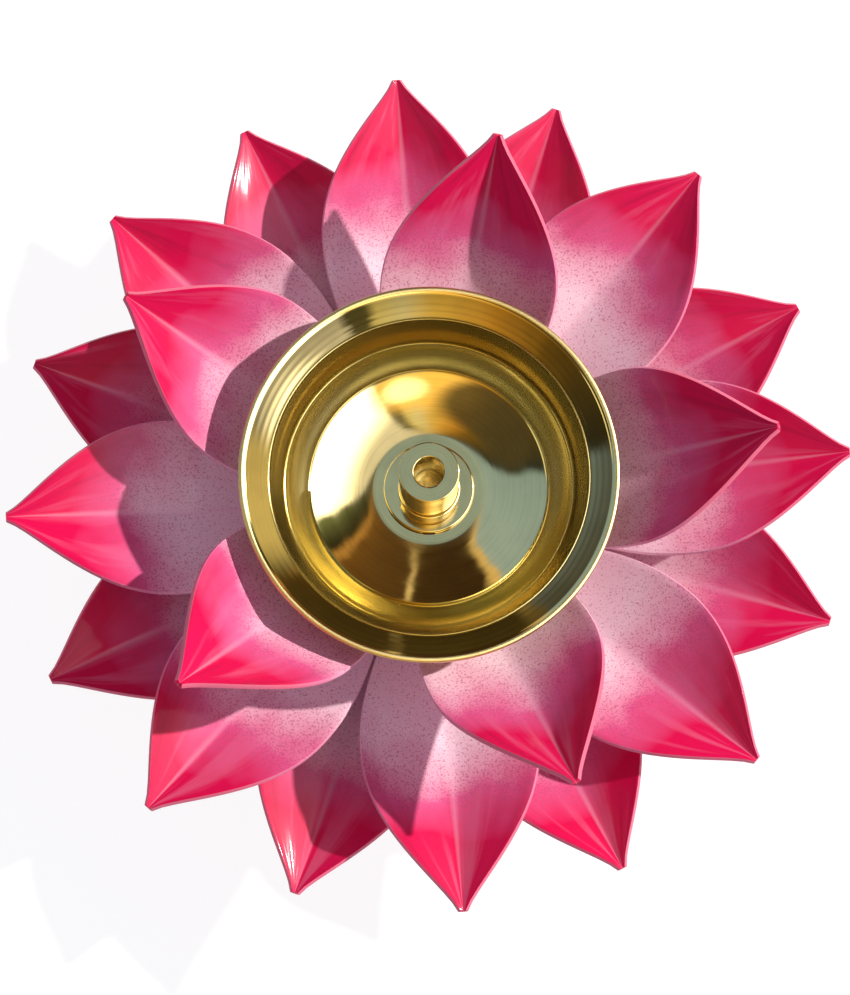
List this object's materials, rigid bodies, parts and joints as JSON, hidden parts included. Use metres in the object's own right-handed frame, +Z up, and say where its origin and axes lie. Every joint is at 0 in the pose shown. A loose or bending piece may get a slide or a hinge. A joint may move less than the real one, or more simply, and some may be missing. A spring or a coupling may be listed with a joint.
{
  "type": "lotus oil lamp",
  "caption": "Devotional oil lamp: a round brass oil bowl with a central wick holder above tiers of pink lotus petals on a small foot.",
  "frame": {"origin": "on the surface that the lamp stands on, under the centre of the bowl", "axes": "+Z up along the bowl's centre line; the first petal of the top tier points 6.4 degrees from +X towards +Y"},
  "size_m": [0.1404, 0.1404, 0.0585],
  "materials": {
    "brass": "turned and polished",
    "gilt": "spun, gold lacquered",
    "pink_enamel": "glossy enamel, fading to pale pink at the roots",
    "zinc": "zinc plated",
    "rubber": "matt"
  },
  "bodies": {
    "lamp_body": {"base_stand": "gilt", "foot_pad": "rubber", "base_washer": "zinc", "spring_washer": "zinc", "hex_nut": "zinc", "lower_spacer": "brass", "middle_spacer": "brass", "upper_spacer": "brass", "bowl_seat": "brass", "oil_bowl": "brass", "seal_washer": "rubber", "centre_screw": "brass"},
    "outer_tier": {"outer_petal_ring": "pink_enamel"},
    "middle_tier": {"middle_petal_ring": "pink_enamel"},
    "inner_tier": {"inner_petal_ring": "pink_enamel"},
    "holder": {"wick_holder": "brass"}
  },
  "joints": [
    {"name": "outer_tier_turn", "type": "hinge", "parent": "lamp_body", "child": "outer_tier", "pos_m": [0, 0, 0.0157], "axis": [0, 0, 1], "continuous": true},
    {"name": "middle_tier_turn", "type": "hinge", "parent": "lamp_body", "child": "middle_tier", "pos_m": [0, 0, 0.0212], "axis": [0, 0, 1], "continuous": true},
    {"name": "inner_tier_turn", "type": "hinge", "parent": "lamp_body", "child": "inner_tier", "pos_m": [0, 0, 0.0267], "axis": [0, 0, 1], "continuous": true},
    {"name": "wick_holder_lift", "type": "slide", "parent": "lamp_body", "child": "holder", "axis": [0, 0, 1], "range_m": [0, 0.02]}
  ]
}
